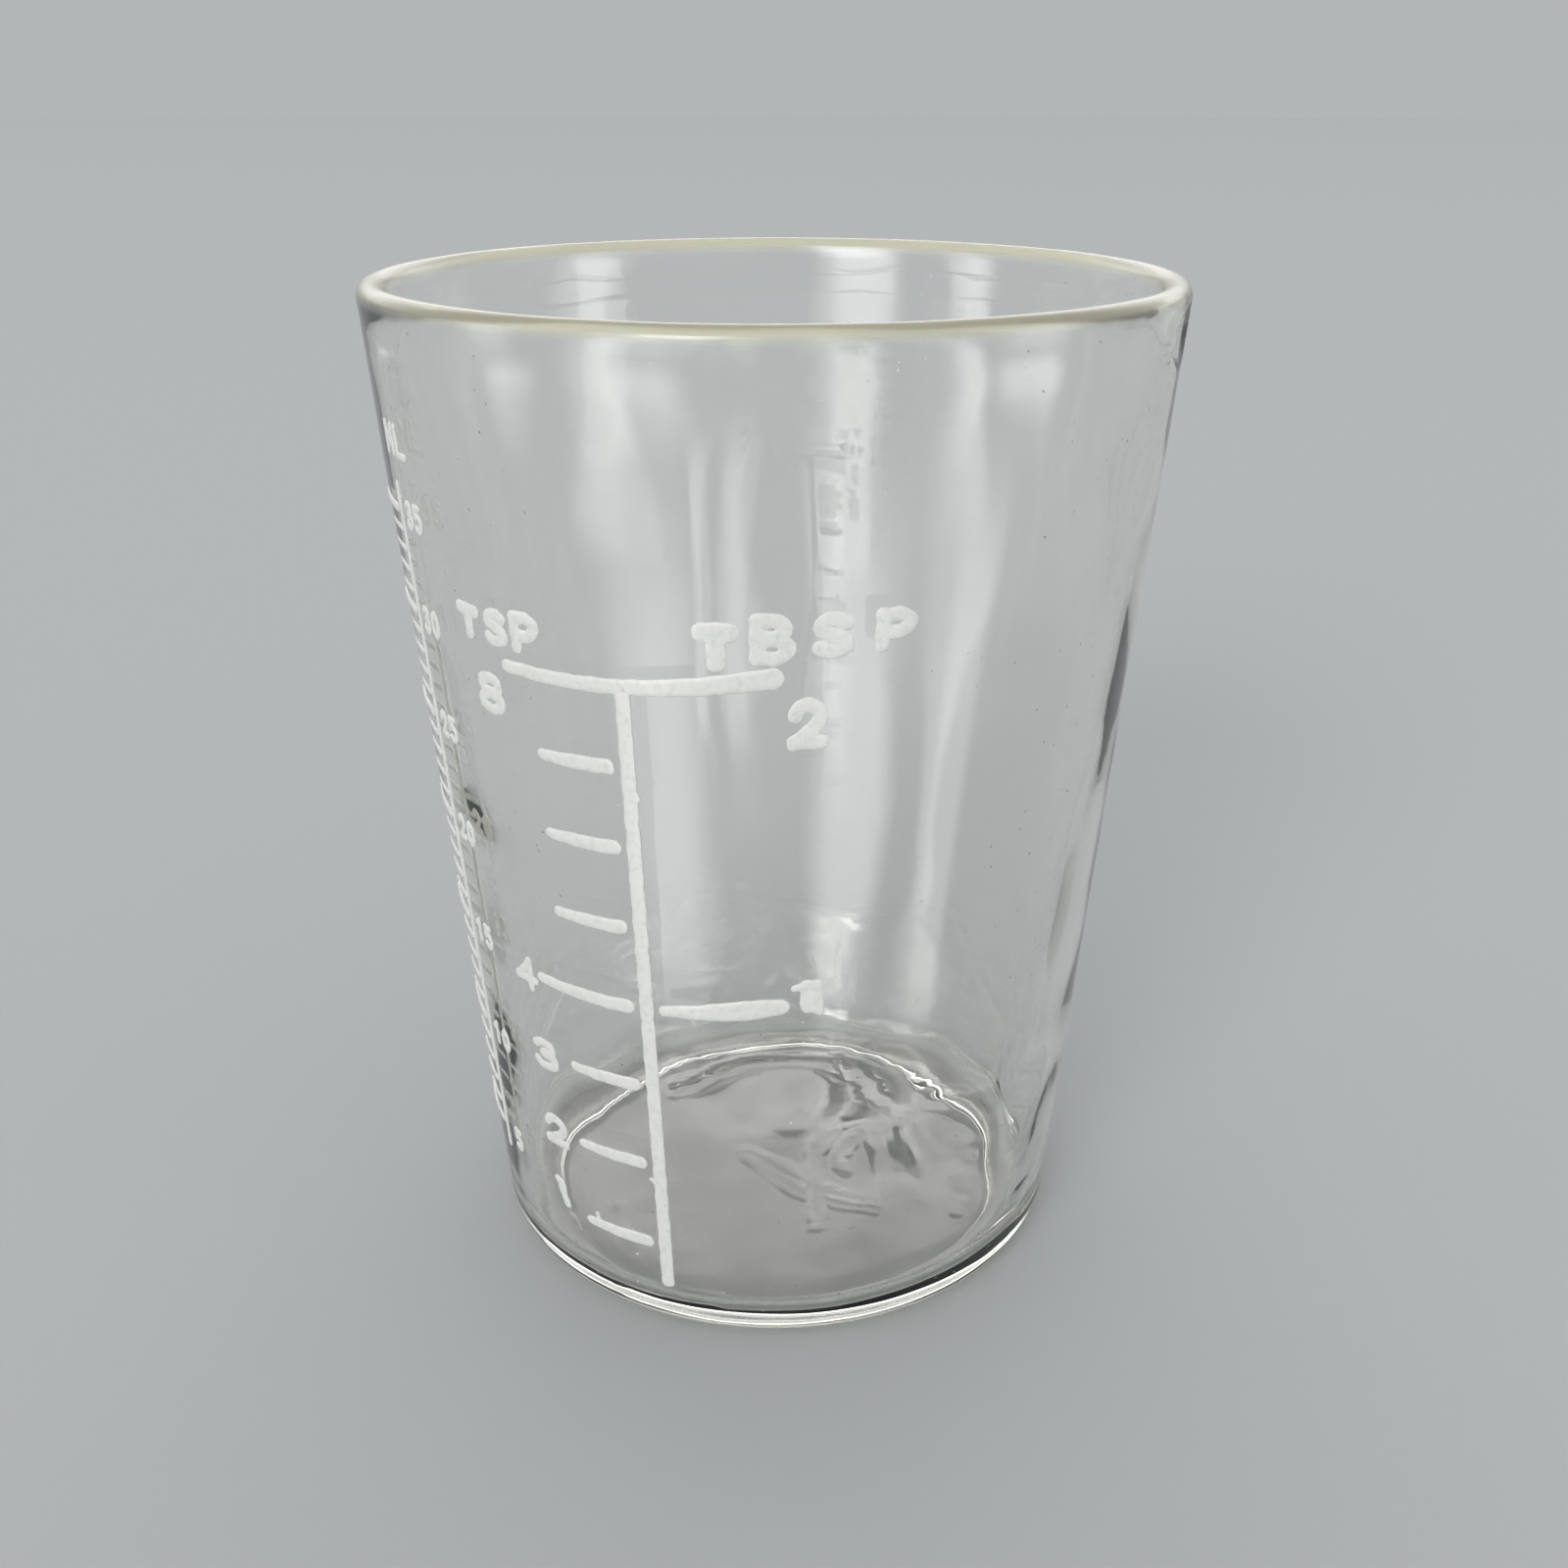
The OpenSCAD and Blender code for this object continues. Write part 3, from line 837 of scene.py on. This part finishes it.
class Numeral(Enum):
    """Characters of the print, each as pulls on a square that is 1 wide and 1 high."""

    ZERO = "0", (
        ((0.5, 1), (0.08, 0.8), (0, 0.5), (0.08, 0.2), (0.5, 0)),
        ((0.5, 0), (0.92, 0.2), (1, 0.5), (0.92, 0.8), (0.5, 1)),
    )
    ONE = "1", (((0.1, 0.78), (0.6, 1), (0.6, 0)),)
    TWO = "2", (
        ((0.02, 0.74), (0.2, 0.95), (0.6, 1), (0.95, 0.8), (0.85, 0.52), (0.4, 0.22), (0, 0)),
        ((0, 0), (1, 0.03)),
    )
    THREE = "3", (
        ((0, 0.86), (0.35, 1), (0.85, 0.92), (0.9, 0.66), (0.4, 0.53)),
        ((0.4, 0.53), (0.95, 0.44), (1, 0.16), (0.6, 0), (0.2, 0.02), (0, 0.16)),
    )
    FOUR = "4", (((0.72, 0), (0.72, 1)), ((0.72, 1), (0, 0.32)), ((0, 0.32), (1, 0.32)))
    FIVE = "5", (
        ((0.92, 1), (0.12, 1)),
        ((0.12, 1), (0.06, 0.58)),
        ((0.06, 0.58), (0.5, 0.66), (1, 0.42), (0.85, 0.08), (0.4, 0), (0, 0.1)),
    )
    EIGHT = "8", (
        ((0.5, 1), (0.12, 0.9), (0.1, 0.66), (0.5, 0.53), (0.9, 0.66), (0.88, 0.9), (0.5, 1)),
        ((0.5, 0.53), (0.04, 0.36), (0.04, 0.12), (0.5, 0), (0.96, 0.12), (0.96, 0.36), (0.5, 0.53)),
    )
    T = "T", (((0, 1), (1, 1)), ((0.5, 1), (0.5, 0)))
    B = "B", (
        ((0, 0), (0, 1)),
        ((0, 1), (0.6, 1), (0.9, 0.8), (0.6, 0.54), (0, 0.52)),
        ((0, 0.52), (0.65, 0.5), (1, 0.26), (0.65, 0), (0, 0)),
    )
    S = "S", (
        ((0.95, 0.86), (0.55, 1), (0.1, 0.88), (0.12, 0.64), (0.5, 0.5)),
        ((0.5, 0.5), (0.9, 0.36), (0.92, 0.12), (0.45, 0), (0.02, 0.12)),
    )
    P = "P", (((0, 0), (0, 1)), ((0, 1), (0.65, 1), (1, 0.78), (0.65, 0.46), (0, 0.44)))
    M = "M", (((0, 0), (0, 1)), ((0, 1), (0.5, 0.3)), ((0.5, 0.3), (1, 1)), ((1, 1), (1, 0)))
    L = "L", (((0, 1), (0, 0)), ((0, 0), (1, 0)))

    @classmethod
    def drawn(cls, text: str, centre: Point2, size: Point2, pull: float) -> tuple[Stroke, ...]:
        """Draw characters side by side round a centre.

        Args:
            text: the characters.
            centre: x and z of the middle of the whole, mm.
            size: width and height of one character, mm.
            pull: width of the strokes, mm.

        Returns:
            The strokes, ready for a mark.
        """
        by_name = dict(member.value for member in cls)
        wide, tall = size[0] - pull, size[1] - pull
        pace = size[0] + pull * LETTER_GAP
        strokes = []
        for i, character in enumerate(text):
            middle = centre[0] + (i - (len(text) - 1) / 2) * pace
            for path in by_name[character]:
                points = tuple((middle + (u - 0.5) * wide, centre[1] + (v - 0.5) * tall) for u, v in path)
                # A pull of up to three points is straight or has a sharp corner.
                strokes.append(Stroke(points, (pull,), curved=len(path) > 3))
        return tuple(strokes)


@dataclass(frozen=True)
class Caption:
    """One character or number of the print: where it stands and how big it is."""

    text: str
    angle: float
    z: float
    width: float
    height: float
    pull: float


@dataclass
class SpoonScales:
    """The teaspoon and tablespoon scales with their upright, numerals and unit letters."""

    shape: CupShape
    angle: float = -20.4
    line: float = 0.75
    middle: float = 0.7
    tip: float = 0.55  # widths of a short line at the upright, half way and at its free end, mm
    spine: float = 0.7
    gap: float = 0.3
    bow_radius: float = 54.0
    bow_x: float = 3.5
    teaspoons: int = 8
    per_tablespoon: int = 4
    reach: float = 4.1
    long_reach: float = 5.8
    tablespoon_reach: float = 6.2
    full_left: float = 6.05
    full_right: float = 6.45
    spine_foot: float = 2.9
    full_swell: tuple[float, ...] = (0.62, 0.68, 0.74, 0.8, 0.95)  # its widths from left to right, mm
    tablespoon_swell: tuple[float, ...] = (0.6, 0.72, 0.88, 1.05, 1.1, 0.85)
    spine_runs: tuple[Stroke, ...] = (
        Stroke(((-0.3, 9.75), (-0.52, 9.85)), (0.3, 0.2)),
        Stroke(((0.28, 31.6), (0.36, 31.4)), (0.25, 0.25)),
    )
    spur: tuple[Point2, Point2] = ((0.55, 0.0), (0.45, 0.55))  # on the first line, from its left end, mm
    spur_widths: Point2 = (0.3, 0.2)
    teaspoon_one: tuple[float | Stroke, ...] = (  # its angle, then its strokes, as on the photograph
        -43.4,
        Stroke(((-0.28, 7.25), (-0.02, 7.05), (0.06, 6.5), (0.26, 5.85)), (0.5, 0.6, 0.6, 0.5), True),
    )
    tablespoon_one: tuple[float | Stroke, ...] = (
        4.8,
        Stroke(((-0.06, 22.12), (0.0, 20.98)), (0.62, 0.7)),
        Stroke(((0.38, 22.2), (0.4, 21.4), (0.42, 20.95)), (0.5, 0.62, 0.66)),
        Stroke(((-0.05, 22.1), (-0.62, 21.98)), (0.5, 0.34)),
        Stroke(((0.42, 20.9), (0.58, 20.62)), (0.5, 0.36)),
    )
    captions: tuple[Caption, ...] = (
        Caption("8", -43.5, 35.0, 1.84, 2.1, 0.55),
        Caption("4", -44.8, 19.95, 1.75, 1.95, 0.42),
        Caption("3", -42.8, 15.35, 1.8, 1.9, 0.5),
        Caption("2", -42.75, 10.6, 1.85, 2.0, 0.52),
        Caption("T", -46.4, 38.25, 1.75, 1.75, 0.62),
        Caption("S", -40.6, 38.35, 1.6, 1.85, 0.56),
        Caption("P", -35.0, 38.4, 1.75, 2.0, 0.6),
        Caption("2", 4.25, 35.4, 1.8, 2.42, 0.66),
        Caption("T", -7.5, 38.85, 2.05, 2.2, 0.84),
        Caption("B", -0.3, 39.25, 1.95, 2.3, 0.66),
        Caption("S", 7.3, 39.4, 1.85, 2.1, 0.64),
        Caption("P", 15.4, 39.5, 1.85, 1.95, 0.62),
    )

    def bow(self, x: float) -> float:
        """Height by which the bow lifts a line at x, compared with the upright."""
        return ((x + self.bow_x) ** 2 - self.bow_x**2) / (2 * self.bow_radius)

    def bowed(self, z: float, start: float, end: float, widths: tuple[float, ...]) -> Stroke:
        """Draw a bowed line from start to end at height z beside the upright."""
        points = tuple((x, z + self.bow(x)) for x in np.linspace(start, end, 9))
        return Stroke(points, widths)

    def lines(self) -> list[EnamelMark]:
        """Lay out the upright, the full line and every short line.

        Returns:
            One mark for each, named for the node that it stands for.
        """
        full_z = self.shape.mark_z(self.teaspoons * self.shape.teaspoon)
        upright = Stroke(((0, self.spine_foot + self.spine / 2), (0, full_z)), (self.spine, self.spine))
        marks = [
            self.mark("full_line", self.bowed(full_z, -self.full_left, self.full_right, self.full_swell)),
            self.mark("scale_spine", upright, *self.spine_runs),
        ]
        right = -self.spine / 2 - self.gap - self.line / 2
        for n in range(1, self.teaspoons):
            reach = self.reach if n % self.per_tablespoon else self.long_reach
            left = right - reach + self.line / 2 + self.tip / 2
            z = self.shape.mark_z(n * self.shape.teaspoon)
            strokes = [self.bowed(z, left, right, (self.tip, self.middle, self.line))]
            if n == 1:
                (foot, _), (head, rise) = self.spur
                points = ((left + foot, z + self.bow(left + foot)), (left + head, z + rise))
                strokes.append(Stroke(points, self.spur_widths))
            marks.append(self.mark(f"teaspoon_tick_{n}", *strokes))
        start = self.spine / 2 + self.gap + self.tip / 2
        end = start + self.tablespoon_reach - self.tablespoon_swell[-1]
        z = self.shape.mark_z(self.per_tablespoon * self.shape.teaspoon)
        marks.append(self.mark("tablespoon_tick_1", self.bowed(z, start, end, self.tablespoon_swell)))
        return marks

    def mark(self, name: str, *strokes: Stroke) -> EnamelMark:
        """Make one mark of the spoon scales' screen."""
        return EnamelMark(name, self.shape, self.angle, strokes)

    def lettering(self) -> list[EnamelMark]:
        """Lay out the numerals and the unit letters, each on the wall where it stands."""
        marks = []
        for i, c in enumerate(self.captions):
            strokes = Numeral.drawn(c.text, (0, c.z), (c.width, c.height), c.pull)
            marks.append(EnamelMark(f"print_{c.text}_{i + 1}", self.shape, c.angle, strokes))
        for unit, (angle, *strokes) in (("teaspoon", self.teaspoon_one), ("tablespoon", self.tablespoon_one)):
            marks.append(EnamelMark(f"print_1_{unit}", self.shape, angle, tuple(strokes)))
        return marks


@dataclass
class MillilitreScale:
    """The generic millilitre scale on the left of the cup: upright, numbered lines and fine lines."""

    shape: CupShape
    angle: float = -64.0
    spine: float = 0.45
    line: float = 0.45
    fine: float = 0.3
    reach: float = 4.0
    fine_reach: float = 2.4
    gap: float = 0.25
    step: int = 5
    top: int = 35
    run_on: float = 1.2
    number_x: float = 1.75
    digit: Point2 = (0.9, 1.45)
    unit_x: float = 0.75
    unit_rise: float = 3.4  # height of the unit letters over the last line, mm
    unit_size: Point2 = (1.25, 1.6)
    pull: float = 0.34
    jitter: float = 0.02
    seed: int = 7

    def tick(self, z: float, reach: float, width: float) -> Stroke:
        """Draw a straight line with round ends, left of the upright."""
        end = -self.spine / 2 - self.gap - width / 2
        return Stroke(((end - reach + width, z), (end, z)), (width, width))

    def mark(self, name: str, *strokes: Stroke) -> EnamelMark:
        """Make one mark of the millilitre screen."""
        return EnamelMark(name, self.shape, self.angle, strokes, ragged=0.012, slump=0.14, flow_together=0.03)

    def lines(self) -> list[EnamelMark]:
        """Lay out the upright and the numbered lines."""
        low = self.shape.mark_z(self.step) - self.run_on
        high = self.shape.mark_z(self.top) + self.run_on
        marks = [self.mark("millilitre_spine", Stroke(((0, low), (0, high)), (self.spine, self.spine)))]
        for v in range(self.step, self.top + 1, self.step):
            tick = self.tick(self.shape.mark_z(v), self.reach, self.line)
            marks.append(self.mark(f"millilitre_tick_{v}", tick))
        return marks

    def lettering(self) -> list[EnamelMark]:
        """Lay out a number beside each numbered line, and the unit letters over them."""
        marks = []
        for v in range(self.step, self.top + 1, self.step):
            strokes = Numeral.drawn(str(v), (self.number_x, self.shape.mark_z(v)), self.digit, self.pull)
            marks.append(self.mark(f"print_{v}_ml", *strokes))
        above = (self.unit_x, self.shape.mark_z(self.top) + self.unit_rise)
        marks.append(self.mark("print_unit_ml", *Numeral.drawn("ML", above, self.unit_size, self.pull)))
        return marks

    def fine_tree(self, finish: Material) -> Tree:
        """Build the node tree that sets a fine line at each millilitre between the numbers.

        Args:
            finish: the enamel's material.

        Returns:
            A geometry node tree whose inputs give the scale's range and the cone that it climbs.
        """
        s = self.shape
        values = {
            "Lines": self.top - self.step + 1,
            "Numbered Step": self.step,
            "First Volume": float(self.step),
            "Cube At Floor": s.cube_at_floor(),
            "Cube Per Volume": s.cube_per_ml(),
            "Radius At Floor": s.inside(s.floor),
            "Slope": s.slope,
            "Zero Height": s.floor - s.print_drop,
            "Angle": math.radians(self.angle),
            "Jitter": self.jitter,
            "Seed": self.seed,
            "Finish": finish,
        }
        tree, given = start_tree("volume_graduations", values)
        work = partial(calc, tree)
        row = add_node(tree, "GeometryNodePoints", {"Count": given["Lines"]}).outputs[0]
        volume = work("ADD", add_node(tree, "GeometryNodeInputIndex").outputs[0], given["First Volume"])
        numbered = work("LESS_THAN", work("MODULO", volume, given["Numbered Step"]), 0.5)
        cube = work("ADD", given["Cube At Floor"], work("MULTIPLY", volume, given["Cube Per Volume"]))
        widened = work("SUBTRACT", work("POWER", cube, 1 / 3), given["Radius At Floor"])
        climb = work("ADD", given["Zero Height"], work("DIVIDE", widened, given["Slope"]))
        ends = {2: work("MULTIPLY", given["Jitter"], -1.0), 3: given["Jitter"], "Seed": given["Seed"]}
        height = work("ADD", climb, add_node(tree, "FunctionNodeRandomValue", ends).outputs[1])
        out = work("MULTIPLY", height, given["Slope"])
        east, south = (work("MULTIPLY", out, work(turn, given["Angle"])) for turn in ("SINE", "COSINE"))
        axes = {"X": east, "Y": work("MULTIPLY", south, -1.0), "Z": height}
        place = add_node(tree, "ShaderNodeCombineXYZ", axes).outputs[0]
        metres = vector_calc(tree, "MULTIPLY", place, (MM, MM, MM))
        fine = chain(tree, "SetPosition", row, {"Position": metres})
        fine = chain(tree, "DeleteGeometry", fine, {"Selection": numbered})
        lines = chain(tree, "InstanceOnPoints", fine, {"Instance": given["Pattern"]})
        return end_tree(tree, lines, given["Finish"])

    def fine_lines(self, finish: Material) -> Object:
        """Make every line between the numbers as one piece.

        Args:
            finish: the enamel's material.

        Returns:
            The fine lines, realised as a plain mesh.
        """
        # The pattern line lies where the wall would be at z = 0, and each copy climbs the cone from there.
        line = self.mark("fine_line", self.tick(0.0, self.fine_reach, self.fine)).build(finish)
        return put_in("fine_graduations", grow("fine_graduations", line, self.fine_tree(finish)))


@dataclass(frozen=True)
class SoftBox:
    """A rectangular soft lamp, placed by its direction from the cup."""

    name: str
    turn: float  # degrees from the front, plus is right
    rise: float  # degrees over the paper
    distance: float  # mm
    size: Point2  # width and height, mm
    watts: float
    fade: float = 0.35  # share of each side over which the cloth darkens towards its edges
    card: bool = False  # a card shows only in reflections, and lights no matt surface

    def soften(self, tree: Tree) -> None:
        """Let the light fade to the box's edges, as cloth over a lamp does."""
        tree.nodes.clear()
        place = add_node(tree, "ShaderNodeNewGeometry").outputs["Parametric"]
        axes = add_node(tree, "ShaderNodeSeparateXYZ", {"Vector": place}).outputs
        fades = []
        for axis in (axes["X"], axes["Y"]):
            away = calc(tree, "ABSOLUTE", calc(tree, "SUBTRACT", axis, 0.5))
            fades.append(span(tree, away, (0.5 - self.fade, 0.5), (1.0, 0.0), "SMOOTHSTEP"))
        power = calc(tree, "MULTIPLY", *fades)
        if self.card:
            mirrored = add_node(tree, "ShaderNodeLightPath").outputs["Glossy Depth"]
            power = calc(tree, "MULTIPLY", power, calc(tree, "GREATER_THAN", mirrored, 0.5))
        light = add_node(tree, "ShaderNodeEmission", {"Strength": power})
        add_node(tree, "ShaderNodeOutputLight", {"Surface": light.outputs[0]})

    def hang(self, aim: Vector) -> None:
        """Hang the lamp and face it to a point, in millimetres."""
        data = bpy.data.lights.new(self.name, "AREA")
        data.shape = "RECTANGLE"
        data.size, data.size_y = self.size[0] * MM, self.size[1] * MM
        data.energy = self.watts
        data.use_nodes = True
        self.soften(data.node_tree)
        turn, rise = math.radians(self.turn), math.radians(self.rise)
        toward = Vector((math.sin(turn) * math.cos(rise), -math.cos(turn) * math.cos(rise), math.sin(rise)))
        lamp = put_in(self.name, data)
        lamp.location = (aim + toward * self.distance) * MM
        lamp.rotation_euler = (-toward).to_track_quat("-Z", "Y").to_euler()
        lamp.visible_camera = False
        lamp.visible_diffuse = not self.card


@dataclass
class Studio:
    """A wide pale floor under an even bright sky, soft lamps and the camera of the photograph."""

    paper: StudioPaper = field(default_factory=StudioPaper)
    ground: float = -0.03  # the paper lies just under the foot, mm
    reach: float = 3500.0
    horizon: str = "#B3B6B7"
    zenith: str = "#E0E0E0"
    pale: Point2 = (0.03, 0.42)  # heights of the direction over which the sky turns paler
    window: float = 1.6  # how much brighter the far window is than the room
    window_side: Point2 = (0.4, 0.85)  # the direction's y over which it starts
    window_ends: tuple[Point2, ...] = ((0.08, 0.24), (0.72, 0.55))  # and its z, at the foot and at the head
    lamps: tuple[SoftBox, ...] = (
        SoftBox("key_box", -26, 27, 20000, (11000, 11000), 2900.0),
        SoftBox("front_card", -32, 20, 110, (58, 120), 0.075, card=True),
        SoftBox("right_card", 66, 20, 120, (60, 120), 0.078, card=True),
        SoftBox("left_card", -73, 20, 120, (42, 120), 0.052, card=True),
        SoftBox("left_strip", -24, 8, 29.5, (11, 46), 0.0032, card=True),
        SoftBox("middle_strip", 16, 8, 29.8, (10, 46), 0.0034, card=True),
        SoftBox("right_strip", 37, 8, 29.0, (6, 46), 0.0020, card=True),
    )
    eye: Point3 = (0.0, -84.708, 60.424)
    pitch: float = 22.8
    yaw: float = 0.31
    lens: float = 38.25
    sensor: float = 36.0
    clip: Point2 = (0.005, 20.0)  # m
    aim: Point3 = (0.0, 0.0, 20.0)  # the point that the lamps face, mm
    rings: tuple[float, ...] = (40.0, 160.0, 640.0)  # radii at which the paper's mesh is cut, mm

    def sheet(self) -> Object:
        """Make the paper as one wide flat sheet, so that every side shows the same plain ground."""
        sides, radii = 96, (*self.rings, self.reach)
        turns = [2 * math.pi * i / sides for i in range(sides)]
        rows = [(0.0, 0.0, self.ground)] + [
            (radius * math.cos(a), radius * math.sin(a), self.ground) for radius in radii for a in turns
        ]
        faces = [(0, 1 + i, 1 + (i + 1) % sides) for i in range(sides)]
        for base in range(1, (len(radii) - 1) * sides, sides):
            for i in range(sides):
                j = (i + 1) % sides
                faces.append((base + i, base + sides + i, base + sides + j, base + j))
        mesh = bpy.data.meshes.new("paper_sheet")
        mesh.from_pydata((np.array(rows) * MM).tolist(), [], faces)
        mesh.materials.append(self.paper.material())
        mesh.update()
        return put_in("paper_sheet", mesh)

    def room(self) -> bpy.types.World:
        """Make the light of the room: paper grey at the horizon, paler overhead, a wide window far behind."""
        world = bpy.data.worlds.new("studio_room")
        world.use_nodes = True
        tree = world.node_tree
        tree.nodes.clear()
        direction = add_node(tree, "ShaderNodeTexCoord").outputs["Generated"]
        axes = add_node(tree, "ShaderNodeSeparateXYZ", {"Vector": direction}).outputs
        rising = partial(span, tree, shape="SMOOTHSTEP")
        colour = blend(tree, rising(axes["Z"], self.pale), self.horizon, self.zenith)
        sky = add_node(tree, "ShaderNodeBackground", {"Color": colour, "Strength": 1.0})
        pane = rising(axes["Y"], self.window_side, (0.0, self.window))
        for end in self.window_ends:
            pane = calc(tree, "MULTIPLY", pane, rising(axes["Z"], end))
        bright = add_node(tree, "ShaderNodeBackground", {"Color": linear("#FFFFFF"), "Strength": pane})
        room = add_node(tree, "ShaderNodeAddShader", {0: sky.outputs[0], 1: bright.outputs[0]})
        add_node(tree, "ShaderNodeOutputWorld", {"Surface": room.outputs[0]})
        return world

    def camera(self) -> None:
        """Set the camera of the photograph."""
        data = bpy.data.cameras.new("camera")
        data.lens, data.sensor_width = self.lens, self.sensor
        data.clip_start, data.clip_end = self.clip
        camera = put_in("camera", data)
        camera.location = Vector(self.eye) * MM
        camera.rotation_euler = Euler((math.radians(90 - self.pitch), 0, -math.radians(self.yaw)))
        bpy.context.scene.camera = camera

    def build(self) -> None:
        """Set up the whole studio."""
        self.sheet()
        bpy.context.scene.world = self.room()
        for lamp in self.lamps:
            lamp.hang(Vector(self.aim))
        self.camera()
        bpy.context.scene.view_settings.view_transform = "Standard"


def settle(piece: Object, nodes: Sequence[str] = ()) -> None:
    """Fix a piece to the cup's body and hide the solids that it stands for.

    Args:
        piece: the finished piece.
        nodes: the nodes that the piece replaces.
    """
    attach(piece, BODY)
    if nodes:
        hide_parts(*nodes)
    log.info("%s: %d faces", piece.name, len(piece.data.polygons))


def main() -> None:
    """Build the cup and its studio in order."""
    logging.basicConfig(level=logging.INFO, format="%(message)s")
    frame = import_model()
    low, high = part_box("glass_cup")
    shape = CupShape(height=(high[2] - low[2]) / MM, rim_radius=(high[0] - low[0]) / 2 / MM)

    Studio().build()
    settle(GlassCup(shape).build(), ["glass_cup"])

    enamel = FiredEnamel().material()
    spoons = SpoonScales(shape)
    millilitres = MillilitreScale(shape)
    for mark in spoons.lines() + millilitres.lines():
        node = mark.name
        mark.name = f"{node}_enamel"
        settle(mark.build(enamel), [node])
    for mark in spoons.lettering() + millilitres.lettering():
        settle(mark.build(enamel))
    settle(millilitres.fine_lines(enamel), ["millilitre_fine_ticks"])
    log.info("%d nodes in the frame", len(frame["nodes"]))


if __name__ == "__main__":
    main()
